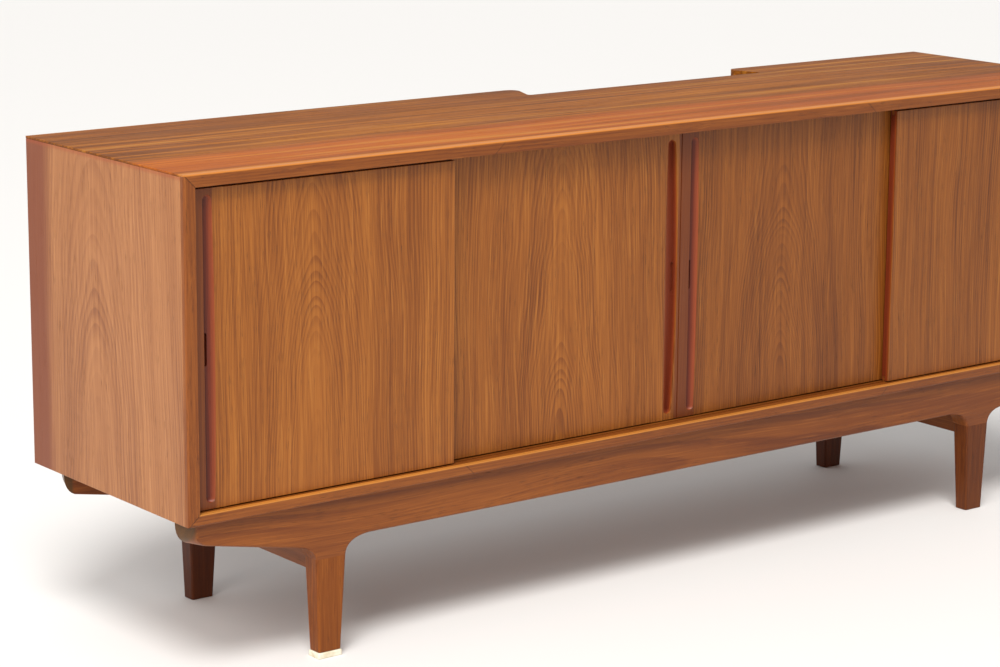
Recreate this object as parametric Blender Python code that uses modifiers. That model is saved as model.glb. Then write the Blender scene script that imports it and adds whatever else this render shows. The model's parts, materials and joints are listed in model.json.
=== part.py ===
"""Teak sideboard with four sliding doors on a separate leg frame.

Metres, +Z up. The origin is on the floor under the middle of the case, X runs
along the length, and the doors face -Y. Run it in Blender 4.5, for instance
with: blender --background --python part.py
"""

import math

import bmesh
import bpy
from mathutils import Matrix, Vector

# Overall sizes
CASE_LENGTH = 2.000
CASE_DEPTH = 0.480
CASE_HEIGHT = 0.540
STAND_HEIGHT = 0.260

# Boards, lippings and back
TOP_THICKNESS = 0.020
SIDE_THICKNESS = 0.020
BOTTOM_THICKNESS = 0.018
TOP_EDGE_BAND = 0.003
LIPPING_DEPTH = 0.010
LIPPING_ROUND = 0.0035
BACK_THICKNESS = 0.006
BACK_INSET = 0.004
BACK_REBATE = 0.008
PARTITION_THICKNESS = 0.018
PARTITION_CLEARANCE = 0.006

# Cable cut-out in the rear edge of the top, and the notch in the back under it
CUTOUT_START = -0.017
CUTOUT_LENGTH = 0.517
CUTOUT_DEPTH = 0.074
CUTOUT_SLANT = 0.020
CUTOUT_CORNER = 0.008
CUTOUT_FLARE = 0.020
BACK_NOTCH_DEPTH = 0.020

# Doors and their tracks
FRONT_DOOR_WIDTH = 0.489
DOOR_THICKNESS = 0.016
DOOR_RECESS = 0.015
DOOR_CLEARANCE = 0.0025
DOOR_OVERLAP = 0.016
DOOR_SIDE_GAP = 0.0005
DOOR_MEETING_GAP = 0.0020
DOOR_FOOT_GAP = 0.0020
DOOR_HEAD_GAP = 0.0055
RUNNER_THICKNESS = 0.005
RUNNER_SETBACK = 0.0085
RUNNER_BEDDING = 0.008
UPPER_RUNNER_GRIP = 0.0050
GROOVE_CLEARANCE = 0.0005
LOWER_GROOVE_DEPTH = 0.005
UPPER_GROOVE_DEPTH = 0.011
LOWER_TRACK_THICKNESS = 0.010
UPPER_TRACK_THICKNESS = 0.014
TRACK_EDGE = 0.007

# Door stiles, carved pulls and edge strips
STILE_WIDTH = 0.056
EDGE_STRIP_WIDTH = 0.006
PULL_END_MARGIN = 0.010
PULL_DEPTH = 0.0085
GROOVE_PULL_WALL = 0.020
GROOVE_PULL_WIDTH = 0.021
GROOVE_PULL_END_WIDTH = 0.017
SCOOP_PULL_WALL = 0.0045
SCOOP_PULL_WIDTH = 0.029
SCOOP_PULL_END_WIDTH = 0.017
SCOOP_PULL_BOW = 0.0085
PULL_SWELL = 0.8
PULL_END_ROUND = 0.0075
PULL_END_FULLNESS = 0.15
PULL_WALL_SLOPE = 0.0018
PULL_STATIONS = 36
PULL_PROFILE_STEPS = 8
NOTCH_HEIGHT = 0.052
NOTCH_WIDTH = 0.007
NOTCH_DEPTH = 0.0115
NOTCH_ROUND = 0.003

# Shelves and pins
SHELF_THICKNESS = 0.016
SHELF_SETBACK = 0.050
SHELF_END_GAP = 0.0020
SHELF_STRIP_DEPTH = 0.008
SHELF_STRIP_ROUND = 0.001
SHELF_LEVEL = 0.245
PIN_RADIUS = 0.0035
PIN_LENGTH = 0.015
PIN_BEDDING = 0.007
PIN_SETBACK = 0.045

# Stand
APRON_SETBACK = 0.014
APRON_THICKNESS = 0.036
APRON_HEIGHT = 0.067
APRON_END_INSET = 0.020
APRON_END_HEIGHT = 0.037
APRON_END_RUN = 0.019
APRON_TIP_HEIGHT = 0.0046
APRON_TIP_EASE = 0.001
APRON_TIP_CURVE = 0.0296
APRON_END_FLARE = 0.015
APRON_ROUND = 0.004
BOSS_HEIGHT = 0.095
OUTER_FILLET_RUN = 0.033
OUTER_FILLET_RISE = 0.0245
OUTER_FILLET_EASE = 0.004
INNER_FILLET_RUN = 0.045
INNER_FILLET_EASE = 0.003
REAR_OVERHANG = 0.052
LEG_INSET = 0.241
LEG_TOP_WIDTH = 0.056
LEG_OUTER_TAPER = 0.0055
LEG_INNER_TAPER = 0.0090
LEG_FACE_TAPER = 0.0030
LEG_REAR_TAPER = 0.0055
RAIL_THICKNESS = 0.026
RAIL_INSET = 0.0085
RAIL_UNDERSIDE = 0.120
RAIL_HEIGHT = 0.060
RAIL_ROUND = 0.002
PAD_THICKNESS = 0.0095
PAD_PROUD = 0.0015
PAD_ROUND = 0.003

# Tenons and screws
LEG_TENON_RADIUS = 0.009
LEG_TENON_LENGTH = 0.035
RAIL_TENON_RADIUS = 0.005
RAIL_TENON_LENGTH = 0.008
RAIL_TENON_OFFSET = 0.013
STAND_SCREW_SPACING = 0.600
STAND_SCREW_RADIUS = 0.0022
STAND_SCREW_HEAD = 0.0045
STAND_SCREW_GRIP = 0.028
STAND_SCREW_BITE = 0.012
SCREW_HEAD_HEIGHT = 0.0020

# Gap kept between pieces that touch, and how far a cutter runs past a face
GAP = 0.0003
OVERCUT = 0.010
ROUND_SIDES = 20

# How nearly an edge's direction must match an axis to count as running along it
ALONG = 0.9

# Places worked out from the sizes
HALF_LENGTH = CASE_LENGTH / 2
FRONT = -CASE_DEPTH / 2
BACK = CASE_DEPTH / 2
CASE_FLOOR = STAND_HEIGHT
CASE_TOP = STAND_HEIGHT + CASE_HEIGHT
INNER_X = HALF_LENGTH - SIDE_THICKNESS
INNER_LOW = CASE_FLOOR + BOTTOM_THICKNESS
INNER_HIGH = CASE_TOP - TOP_THICKNESS
BOARD_FRONT = FRONT + LIPPING_DEPTH + GAP
TRACK_FRONT = BOARD_FRONT + GAP
BACK_FACE = BACK - BACK_INSET
BACK_FRONT = BACK_FACE - BACK_THICKNESS
FRONT_DOOR_FACE = FRONT + DOOR_RECESS
REAR_DOOR_FACE = FRONT_DOOR_FACE + DOOR_THICKNESS + DOOR_CLEARANCE
REAR_DOOR_BACK = REAR_DOOR_FACE + DOOR_THICKNESS
TRACK_BACK = REAR_DOOR_FACE + RUNNER_SETBACK + RUNNER_THICKNESS + GROOVE_CLEARANCE + TRACK_EDGE
FRONT_DOOR_INNER_X = INNER_X - DOOR_SIDE_GAP - FRONT_DOOR_WIDTH
REAR_DOOR_OUTER_X = FRONT_DOOR_INNER_X + DOOR_OVERLAP
DOOR_LOW = INNER_LOW + DOOR_FOOT_GAP
DOOR_HIGH = INNER_HIGH - DOOR_HEAD_GAP
DOOR_MIDDLE = (DOOR_LOW + DOOR_HIGH) / 2
PARTITION_FRONT = max(REAR_DOOR_BACK, TRACK_BACK) + PARTITION_CLEARANCE
SHELF_BACK = BACK_FRONT - GAP
SHELF_FRONT = REAR_DOOR_BACK + SHELF_SETBACK
SHELF_UNDERSIDE = INNER_LOW + SHELF_LEVEL
APRON_FACE = FRONT + APRON_SETBACK
REAR_APRON_FACE = BACK - REAR_OVERHANG
BOSS_FOOT = CASE_FLOOR - BOSS_HEIGHT
LEG_CENTRE_X = HALF_LENGTH - LEG_INSET - LEG_TOP_WIDTH / 2
RAIL_CENTRE_X = HALF_LENGTH - LEG_INSET - RAIL_INSET - RAIL_THICKNESS / 2
RAIL_LOW = CASE_FLOOR - RAIL_UNDERSIDE


def new_collection(name):
    collection = bpy.data.collections.new(name)
    bpy.context.scene.collection.children.link(collection)
    return collection


def new_material(name, colour, roughness, metallic=0.0):
    material = bpy.data.materials.new(name)
    material.use_nodes = True
    shader = material.node_tree.nodes["Principled BSDF"]
    shader.inputs["Base Color"].default_value = (*colour, 1.0)
    shader.inputs["Roughness"].default_value = roughness
    shader.inputs["Metallic"].default_value = metallic
    material.diffuse_color = (*colour, 1.0)
    return material


for old in list(bpy.data.objects):
    bpy.data.objects.remove(old, do_unlink=True)
PARTS = new_collection("sideboard")
CUTTERS = new_collection("cutters")
VENEER = new_material("teak_veneer", (0.42, 0.19, 0.07), 0.42)
SOLID = new_material("teak_solid", (0.36, 0.13, 0.05), 0.40)
PLYWOOD = new_material("back_plywood", (0.45, 0.28, 0.14), 0.60)
STEEL = new_material("zinc_steel", (0.55, 0.55, 0.54), 0.35, 1.0)
FELT = new_material("white_pad", (0.82, 0.80, 0.76), 0.80)


# Building blocks --------------------------------------------------------------


def add_object(name, mesh, place, material, parent=None):
    """Add a sub-part, or a cutter where there is no material, at a world place."""
    obj = bpy.data.objects.new(name, mesh)
    obj.location = Vector(place)
    if material is None:
        CUTTERS.objects.link(obj)
        obj.hide_render = True
        obj.display_type = "WIRE"
    else:
        PARTS.objects.link(obj)
        mesh.materials.append(material)
    if parent is not None:
        obj.parent = parent
        obj.location = Vector(place) - parent.location
    return obj


def mesh_from(shape, name):
    mesh = bpy.data.meshes.new(name)
    shape.to_mesh(mesh)
    shape.free()
    return mesh


def box(name, low, high, material, parent=None):
    """A box between two corners, with its origin in its middle."""
    low, high = Vector(low), Vector(high)
    shape = bmesh.new()
    bmesh.ops.create_cube(shape, size=1.0)
    bmesh.ops.scale(shape, vec=high - low, verts=shape.verts)
    return add_object(name, mesh_from(shape, name), (low + high) / 2, material, parent)


def mirrored(low, high, side):
    """Both corners of a box, moved to the left half when side is -1."""
    (x_low, *rest_low), (x_high, *rest_high) = low, high
    x_low, x_high = sorted((side * x_low, side * x_high))
    return (x_low, *rest_low), (x_high, *rest_high)


def cut(piece, cutter, operation="DIFFERENCE"):
    """Take a cutter's shape out of a piece, or join it on with UNION."""
    modifier = piece.modifiers.new("with_" + cutter.name, "BOOLEAN")
    modifier.operation = operation
    modifier.solver = "EXACT"
    modifier.object = cutter


def cut_box(piece, label, low, high, parent=None):
    cut(piece, box(piece.name + "_" + label, low, high, None, parent))


def turned(name, profile, places, axis, material):
    """One object with a turned solid at each place, its length along an axis.

    The profile lists radius and height pairs, and starts and ends on the axis.
    """
    shape = bmesh.new()
    turn = Vector((0, 0, 1)).rotation_difference(Vector(axis)).to_matrix()
    for place in places:
        verts = [shape.verts.new((radius, 0, height)) for radius, height in profile]
        edges = [shape.edges.new(pair) for pair in zip(verts, verts[1:])]
        before = set(shape.verts) - set(verts)
        bmesh.ops.spin(
            shape,
            geom=verts + edges,
            cent=(0, 0, 0),
            axis=(0, 0, 1),
            angle=2 * math.pi,
            steps=ROUND_SIDES,
            use_merge=True,
        )
        made = [vert for vert in shape.verts if vert not in before]
        bmesh.ops.rotate(shape, verts=made, cent=(0, 0, 0), matrix=turn)
        bmesh.ops.translate(shape, verts=made, vec=Vector(place))
    bmesh.ops.remove_doubles(shape, verts=shape.verts, dist=0.00001)
    bmesh.ops.recalc_face_normals(shape, faces=shape.faces)
    piece = add_object(name, mesh_from(shape, name), (0, 0, 0), material)
    if material is not None:
        shade(piece)
    return piece


def rod_profile(radius, length):
    """A rod centred on its place."""
    half = length / 2
    return [(0, -half), (radius, -half), (radius, half), (0, half)]


def screw_profile(radius, head_radius, length):
    """A screw whose shank runs up from the underside of its head at height 0."""
    point = 2 * radius
    return [
        (0, -SCREW_HEAD_HEIGHT),
        (head_radius, -SCREW_HEAD_HEIGHT),
        (head_radius, 0),
        (radius, 0),
        (radius, length - point),
        (0, length),
    ]


def flat_outline(name, points, thickness, place, material, upright=True):
    """A solid from an outline in X and Z with its thickness along Y, or lying down in X and Y."""
    curve = bpy.data.curves.new(name + "_outline", "CURVE")
    curve.dimensions = "2D"
    curve.fill_mode = "BOTH"
    curve.extrude = thickness / 2
    spline = curve.splines.new("POLY")
    spline.points.add(len(points) - 1)
    for point, (across, up) in zip(spline.points, points):
        point.co = (across, up, 0.0, 1.0)
    spline.use_cyclic_u = True
    outline = bpy.data.objects.new(name + "_outline", curve)
    outline.rotation_euler = (math.pi / 2 if upright else 0, 0, 0)
    outline.location = place
    CUTTERS.objects.link(outline)
    bpy.context.view_layer.update()
    evaluated = outline.evaluated_get(bpy.context.evaluated_depsgraph_get())
    shape = bmesh.new()
    shape.from_mesh(bpy.data.meshes.new_from_object(evaluated))
    bmesh.ops.remove_doubles(shape, verts=shape.verts, dist=0.00001)
    bmesh.ops.dissolve_limit(shape, angle_limit=0.001, verts=shape.verts, edges=shape.edges)
    bmesh.ops.recalc_face_normals(shape, faces=shape.faces)
    piece = add_object(name, mesh_from(shape, name), place, material)
    piece.matrix_world = outline.matrix_world
    bpy.data.objects.remove(outline, do_unlink=True)
    return piece


def curve_between(start, control, end, steps):
    """Points of a quadratic curve after its start, up to and with its end."""
    points = []
    for step in range(1, steps + 1):
        share = step / steps
        weights = ((1 - share) ** 2, 2 * share * (1 - share), share**2)
        trio = zip(start, control, end)
        points.append(tuple(sum(w * c for w, c in zip(weights, values)) for values in trio))
    return points


def round_edges(piece, radius, chosen, segments=3):
    """Round the edges for which chosen(middle, direction) is true."""
    mesh = piece.data
    weights = mesh.attributes.new("bevel_weight_edge", "FLOAT", "EDGE")
    for edge in mesh.edges:
        start, end = (mesh.vertices[index].co for index in edge.vertices)
        picked = chosen((start + end) / 2, (end - start).normalized())
        weights.data[edge.index].value = 1.0 if picked else 0.0
    modifier = piece.modifiers.new("rounding", "BEVEL")
    modifier.limit_method = "WEIGHT"
    modifier.width = radius
    modifier.segments = segments


def shade(piece, degrees=35):
    """Smooth shading across the round stretches, with sharp corners kept."""
    piece.data.shade_smooth()
    piece.data.set_sharp_from_angle(angle=math.radians(degrees))


# Case -------------------------------------------------------------------------


def front_lippings():
    """Four solid strips, mitred at the corners, in front of the boards."""
    centre = Vector((0, FRONT + LIPPING_DEPTH / 2, (CASE_TOP + CASE_FLOOR) / 2))
    seam = GAP / 2
    outer, inner = HALF_LENGTH, INNER_X
    outlines = {
        "lipping_top": [
            (-outer + seam, CASE_TOP),
            (-inner + seam, INNER_HIGH),
            (inner - seam, INNER_HIGH),
            (outer - seam, CASE_TOP),
        ],
        "lipping_bottom": [
            (-outer + seam, CASE_FLOOR),
            (outer - seam, CASE_FLOOR),
            (inner - seam, INNER_LOW),
            (-inner + seam, INNER_LOW),
        ],
        "lipping_left": [
            (-outer, CASE_FLOOR + seam),
            (-inner, INNER_LOW + seam),
            (-inner, INNER_HIGH - seam),
            (-outer, CASE_TOP - seam),
        ],
        "lipping_right": [
            (outer, CASE_TOP - seam),
            (inner, INNER_HIGH - seam),
            (inner, INNER_LOW + seam),
            (outer, CASE_FLOOR + seam),
        ],
    }
    for name, points in outlines.items():
        level = [(across, up - centre.z) for across, up in points]
        strip = flat_outline(name, level, LIPPING_DEPTH, centre, SOLID)
        round_edges(strip, LIPPING_ROUND, on_outer_front_arris)
        shade(strip)


def on_outer_front_arris(middle, direction):
    """True on the outer front arris of a lipping, whose local Z faces the front."""
    if middle.z < LIPPING_DEPTH / 4:
        return False
    upright = abs(abs(middle.x) - HALF_LENGTH) < GAP and abs(direction.y) > ALONG
    level = abs(abs(middle.y) - CASE_HEIGHT / 2) < GAP and abs(direction.x) > ALONG
    return upright or level


def top_board():
    """The veneered top, mitred to the side boards under a thin edge band."""
    seam = GAP / 2
    outline = [
        (-HALF_LENGTH, CASE_TOP),
        (-HALF_LENGTH, CASE_TOP - TOP_EDGE_BAND),
        (-INNER_X + seam, INNER_HIGH),
        (INNER_X - seam, INNER_HIGH),
        (HALF_LENGTH, CASE_TOP - TOP_EDGE_BAND),
        (HALF_LENGTH, CASE_TOP),
    ]
    centre = Vector((0, (BOARD_FRONT + BACK) / 2, CASE_TOP))
    level = [(across, up - centre.z) for across, up in outline]
    board = flat_outline("top_board", level, BACK - BOARD_FRONT, centre, VENEER)
    cut_box(
        board,
        "track_bed",
        (-INNER_X + GAP, BOARD_FRONT - OVERCUT, INNER_HIGH - OVERCUT),
        (INNER_X - GAP, TRACK_BACK + GAP, INNER_HIGH + UPPER_TRACK_THICKNESS + GAP),
    )
    cut_box(
        board,
        "back_rebate",
        (-INNER_X - BACK_REBATE, BACK_FRONT - GAP, INNER_HIGH - OVERCUT),
        (INNER_X + BACK_REBATE, BACK + OVERCUT, INNER_HIGH + BACK_REBATE),
    )
    cut_box(
        board,
        "partition_bed",
        (-PARTITION_THICKNESS / 2 - GAP, PARTITION_FRONT - GAP, INNER_HIGH - OVERCUT),
        (PARTITION_THICKNESS / 2 + GAP, BACK_FRONT, INNER_HIGH + GAP),
    )
    cut(board, cable_cutout())


def cable_cutout():
    """Cutter for the opening in the rear edge of the top, flared where it meets the edge."""
    start, end = CUTOUT_START, CUTOUT_START + CUTOUT_LENGTH
    floor = BACK - CUTOUT_DEPTH
    inner, outer = CUTOUT_CORNER, CUTOUT_FLARE
    points = [(start - outer, BACK + OVERCUT), (start - outer, BACK)]
    points += curve_between(points[-1], (start, BACK), (start, BACK - outer), 8)
    near, far = start - CUTOUT_SLANT, end + CUTOUT_SLANT
    points.append((near + inner / 4, floor + inner))
    points += curve_between(points[-1], (near, floor), (near + inner, floor), 6)
    points.append((far - inner, floor))
    points += curve_between(points[-1], (far, floor), (far - inner / 4, floor + inner), 6)
    points.append((end, BACK - outer))
    points += curve_between(points[-1], (end, BACK), (end + outer, BACK), 8)
    points.append((end + outer, BACK + OVERCUT))
    place = (0, 0, (INNER_HIGH + CASE_TOP) / 2)
    thickness = TOP_THICKNESS + 2 * OVERCUT
    return flat_outline("cable_cutout", points, thickness, place, None, upright=False)


def bottom_board():
    """The bottom, between the side boards, with a bed for the lower track."""
    board = box(
        "bottom_board",
        (-INNER_X + GAP, BOARD_FRONT, CASE_FLOOR),
        (INNER_X - GAP, BACK, INNER_LOW),
        VENEER,
    )
    cut_box(
        board,
        "track_bed",
        (-INNER_X - OVERCUT, BOARD_FRONT - OVERCUT, INNER_LOW - LOWER_TRACK_THICKNESS - GAP),
        (INNER_X + OVERCUT, TRACK_BACK + GAP, INNER_LOW + OVERCUT),
    )
    cut_box(
        board,
        "back_rebate",
        (-INNER_X - OVERCUT, BACK_FRONT - GAP, INNER_LOW - BACK_REBATE),
        (INNER_X + OVERCUT, BACK + OVERCUT, INNER_LOW + OVERCUT),
    )
    cut(board, stand_screw_holes("bottom_board_screw_holes"))


def side_boards():
    """Two upright boards, mitred under the top's edge band."""
    seam = GAP / 2
    mitre_top = CASE_TOP - TOP_EDGE_BAND - seam
    for name, side in (("side_board_left", -1), ("side_board_right", 1)):
        outline = [
            (side * HALF_LENGTH, CASE_FLOOR),
            (side * INNER_X, CASE_FLOOR),
            (side * INNER_X, INNER_HIGH - seam),
            (side * HALF_LENGTH, mitre_top - GAP),
        ]
        centre = Vector((0, (BOARD_FRONT + BACK) / 2, CASE_FLOOR))
        level = [(across, up - centre.z) for across, up in outline]
        board = flat_outline(name, level, BACK - BOARD_FRONT, centre, VENEER)
        rebate = mirrored(
            (INNER_X - OVERCUT, BACK_FRONT - GAP, CASE_FLOOR - OVERCUT),
            (INNER_X + BACK_REBATE, BACK + OVERCUT, CASE_TOP),
            side,
        )
        cut_box(board, "back_rebate", *rebate)
        cut(board, shelf_pin_holes(name + "_pin_holes"))


def back_panel():
    """A thin board in the rebates, lowered under the cable cut-out."""
    reach = BACK_REBATE - GAP
    panel = box(
        "back_panel",
        (-INNER_X - reach, BACK_FRONT, INNER_LOW - reach),
        (INNER_X + reach, BACK_FACE, INNER_HIGH + reach),
        PLYWOOD,
    )
    cut_box(
        panel,
        "cable_notch",
        (CUTOUT_START - CUTOUT_SLANT, BACK_FRONT - OVERCUT, INNER_HIGH - BACK_NOTCH_DEPTH),
        (CUTOUT_START + CUTOUT_LENGTH + CUTOUT_SLANT, BACK + OVERCUT, CASE_TOP),
    )


def partition():
    """The upright board between the two compartments."""
    board = box(
        "partition",
        (-PARTITION_THICKNESS / 2, PARTITION_FRONT, INNER_LOW + GAP),
        (PARTITION_THICKNESS / 2, BACK_FRONT - GAP, INNER_HIGH),
        VENEER,
    )
    cut(board, shelf_pin_holes("partition_pin_holes"))


def tracks():
    """Strips let into the bottom and the top, each with a groove for each row of doors."""
    lower = box(
        "lower_track",
        (-INNER_X + GAP, TRACK_FRONT, INNER_LOW - LOWER_TRACK_THICKNESS),
        (INNER_X - GAP, TRACK_BACK, INNER_LOW),
        SOLID,
    )
    upper = box(
        "upper_track",
        (-INNER_X + 2 * GAP, TRACK_FRONT, INNER_HIGH),
        (INNER_X - 2 * GAP, TRACK_BACK, INNER_HIGH + UPPER_TRACK_THICKNESS),
        SOLID,
    )
    for label, door_face in (("front_groove", FRONT_DOOR_FACE), ("rear_groove", REAR_DOOR_FACE)):
        near = door_face + RUNNER_SETBACK - GROOVE_CLEARANCE
        far = door_face + RUNNER_SETBACK + RUNNER_THICKNESS + GROOVE_CLEARANCE
        cut_box(
            lower,
            label,
            (-INNER_X - OVERCUT, near, INNER_LOW - LOWER_GROOVE_DEPTH),
            (INNER_X + OVERCUT, far, INNER_LOW + OVERCUT),
        )
        cut_box(
            upper,
            label,
            (-INNER_X - OVERCUT, near, INNER_HIGH - OVERCUT),
            (INNER_X + OVERCUT, far, INNER_HIGH + UPPER_GROOVE_DEPTH),
        )
    cut(lower, stand_screw_holes("lower_track_screw_holes"))


def shelves():
    """A shelf with a solid front strip in each compartment, on four pins."""
    near = PARTITION_THICKNESS / 2 + SHELF_END_GAP
    far = INNER_X - SHELF_END_GAP
    strip_back = SHELF_FRONT + SHELF_STRIP_DEPTH
    for label, side in (("left", -1), ("right", 1)):
        board = mirrored(
            (near, strip_back + GAP, SHELF_UNDERSIDE),
            (far, SHELF_BACK, SHELF_UNDERSIDE + SHELF_THICKNESS),
            side,
        )
        box("shelf_" + label, *board, VENEER)
        edge = mirrored(
            (near, SHELF_FRONT, SHELF_UNDERSIDE),
            (far, strip_back, SHELF_UNDERSIDE + SHELF_THICKNESS),
            side,
        )
        strip = box("shelf_strip_" + label, *edge, SOLID)
        round_edges(strip, SHELF_STRIP_ROUND, on_level_front_arris)
    for number, place in enumerate(shelf_pin_places(), 1):
        turned(f"shelf_pin_{number}", rod_profile(PIN_RADIUS, PIN_LENGTH), [place], (1, 0, 0), STEEL)


def on_level_front_arris(middle, direction):
    return middle.y < 0 and abs(direction.x) > ALONG


def shelf_pin_places():
    """Pin centres, each bedded in a side board or in the partition."""
    level = SHELF_UNDERSIDE - PIN_RADIUS - GAP
    out = PIN_LENGTH / 2 - PIN_BEDDING
    places = []
    for side in (-1, 1):
        for across in (PARTITION_THICKNESS / 2 + out, INNER_X - out):
            for along in (SHELF_FRONT + PIN_SETBACK, SHELF_BACK - PIN_SETBACK):
                places.append(Vector((side * across, along, level)))
    return places


def shelf_pin_holes(name):
    profile = rod_profile(PIN_RADIUS + GAP, PIN_LENGTH + 2 * GAP)
    return turned(name, profile, shelf_pin_places(), (1, 0, 0), None)


# Doors ------------------------------------------------------------------------


def door(name, left, right, face, pull_side, pull_kind):
    """One sliding door: stile with its pull, panel, edge strip and two runners.

    pull_side is -1 when the stile is on the left edge and 1 when it is on the right.
    """
    carrier = bpy.data.objects.new(name, None)
    carrier.location = ((left + right) / 2, face + DOOR_THICKNESS / 2, DOOR_LOW)
    PARTS.objects.link(carrier)
    far = face + DOOR_THICKNESS
    pull_edge, plain_edge = (left, right) if pull_side < 0 else (right, left)
    stile_inner = pull_edge - pull_side * STILE_WIDTH
    strip_inner = plain_edge + pull_side * EDGE_STRIP_WIDTH
    spans = {
        "stile": (pull_edge, stile_inner + pull_side * GAP / 2, SOLID),
        "panel": (stile_inner - pull_side * GAP / 2, strip_inner + pull_side * GAP / 2, VENEER),
        "edge": (strip_inner - pull_side * GAP / 2, plain_edge, SOLID),
    }
    runner_slots = runner_spans(left, right, face)
    for label, (one, other, material) in spans.items():
        low_x, high_x = sorted((one, other))
        low, high = (low_x, face, DOOR_LOW), (high_x, far, DOOR_HIGH)
        piece = box(name + "_" + label, low, high, material, carrier)
        if label == "stile":
            cut(piece, pull_cutter(piece.name + "_pull", pull_edge, face, pull_side, pull_kind, carrier))
            cut(piece, notch_cutter(piece.name + "_notch", pull_edge, face, pull_side, pull_kind, carrier))
        grow = Vector((OVERCUT, GAP, GAP))
        for slot, (slot_low, slot_high) in runner_slots.items():
            cut_box(piece, slot + "_slot", Vector(slot_low) - grow, Vector(slot_high) + grow, carrier)
    for slot, (slot_low, slot_high) in runner_slots.items():
        box(name + "_" + slot, slot_low, slot_high, SOLID, carrier)


def runner_spans(left, right, face):
    """Corners of the strips that run in the lower and upper grooves."""
    near = face + RUNNER_SETBACK
    far = near + RUNNER_THICKNESS
    foot = INNER_LOW - LOWER_GROOVE_DEPTH + GAP
    head = INNER_HIGH + UPPER_RUNNER_GRIP
    return {
        "lower_runner": ((left + GAP, near, foot), (right - GAP, far, DOOR_LOW + RUNNER_BEDDING)),
        "upper_runner": ((left + GAP, near, DOOR_HIGH - RUNNER_BEDDING), (right - GAP, far, head)),
    }


def pull_shape(kind, share):
    """Steep wall's distance from the door's edge, and the pull's width, at a height.

    share runs from 0 at one end of the pull to 1 at the other.
    """
    swell = math.sin(math.pi * share) ** PULL_SWELL
    if kind == "groove":
        wall = GROOVE_PULL_WALL
        end_width, width = GROOVE_PULL_END_WIDTH, GROOVE_PULL_WIDTH
    else:
        wall = SCOOP_PULL_WALL + SCOOP_PULL_BOW * (1 - swell)
        end_width, width = SCOOP_PULL_END_WIDTH, SCOOP_PULL_WIDTH
    return wall, end_width + (width - end_width) * swell


def pull_cutter(name, edge, face, side, kind, parent):
    """Lens-shaped cutter, lofted up the door: a steep wall and a curved scoop."""
    low = DOOR_LOW + PULL_END_MARGIN
    high = DOOR_HIGH - PULL_END_MARGIN
    shape = bmesh.new()
    rings = []
    for station in range(PULL_STATIONS + 1):
        share = (1 - math.cos(math.pi * station / PULL_STATIONS)) / 2
        height = low + (high - low) * share
        wall, width = pull_shape(kind, share)
        from_end = min(height - low, high - height, PULL_END_ROUND)
        fullness = math.sqrt(1 - (1 - from_end / PULL_END_ROUND) ** 2)
        fullness = max(fullness, PULL_END_FULLNESS)
        centre = wall + width / 2
        section = pull_section(wall, width)
        ring = []
        for inset, depth in section:
            inset = centre + (inset - centre) * fullness
            depth = depth * fullness if depth > 0 else depth
            ring.append(shape.verts.new((edge - side * inset, face + depth, height)))
        rings.append(ring)
    for one, other in zip(rings, rings[1:]):
        for index, vert in enumerate(one):
            following = (index + 1) % len(one)
            shape.faces.new((vert, one[following], other[following], other[index]))
    shape.faces.new(rings[0])
    shape.faces.new(rings[-1])
    bmesh.ops.recalc_face_normals(shape, faces=shape.faces)
    return add_object(name, mesh_from(shape, name), (0, 0, 0), None, parent)


def pull_section(wall, width):
    """Inset from the door's edge and depth behind its face, around the cutter."""
    bottom = wall + PULL_WALL_SLOPE
    section = [(wall, 0.0), (bottom, PULL_DEPTH)]
    for step in range(1, PULL_PROFILE_STEPS + 1):
        share = step / PULL_PROFILE_STEPS
        inset = bottom + (wall + width - bottom) * share
        section.append((inset, PULL_DEPTH * math.cos(share * math.pi / 2)))
    section[-1] = (wall + width, 0.0)
    section += [(wall + width, -OVERCUT), (wall, -OVERCUT)]
    return section


def notch_cutter(name, edge, face, side, kind, parent):
    """Small round-ended cutter for the deeper finger notch at mid height."""
    wall, _ = pull_shape(kind, 0.5)
    near = wall + PULL_WALL_SLOPE
    low_x, high_x = sorted((edge - side * near, edge - side * (near + NOTCH_WIDTH)))
    low = (low_x, face - OVERCUT, DOOR_MIDDLE - NOTCH_HEIGHT / 2)
    high = (high_x, face + NOTCH_DEPTH, DOOR_MIDDLE + NOTCH_HEIGHT / 2)
    cutter = box(name, low, high, None, parent)
    round_edges(cutter, NOTCH_ROUND, lambda middle, direction: abs(direction.y) > ALONG, 4)
    return cutter


def doors():
    """Two doors in the front track at the ends, two in the rear track between them."""
    outer = INNER_X - DOOR_SIDE_GAP
    meeting = DOOR_MEETING_GAP / 2
    door("door_front_left", -outer, -FRONT_DOOR_INNER_X, FRONT_DOOR_FACE, -1, "groove")
    door("door_rear_left", -REAR_DOOR_OUTER_X, -meeting, REAR_DOOR_FACE, 1, "scoop")
    door("door_rear_right", meeting, REAR_DOOR_OUTER_X, REAR_DOOR_FACE, -1, "groove")
    door("door_front_right", FRONT_DOOR_INNER_X, outer, FRONT_DOOR_FACE, 1, "scoop")


# Stand ------------------------------------------------------------------------


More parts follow.
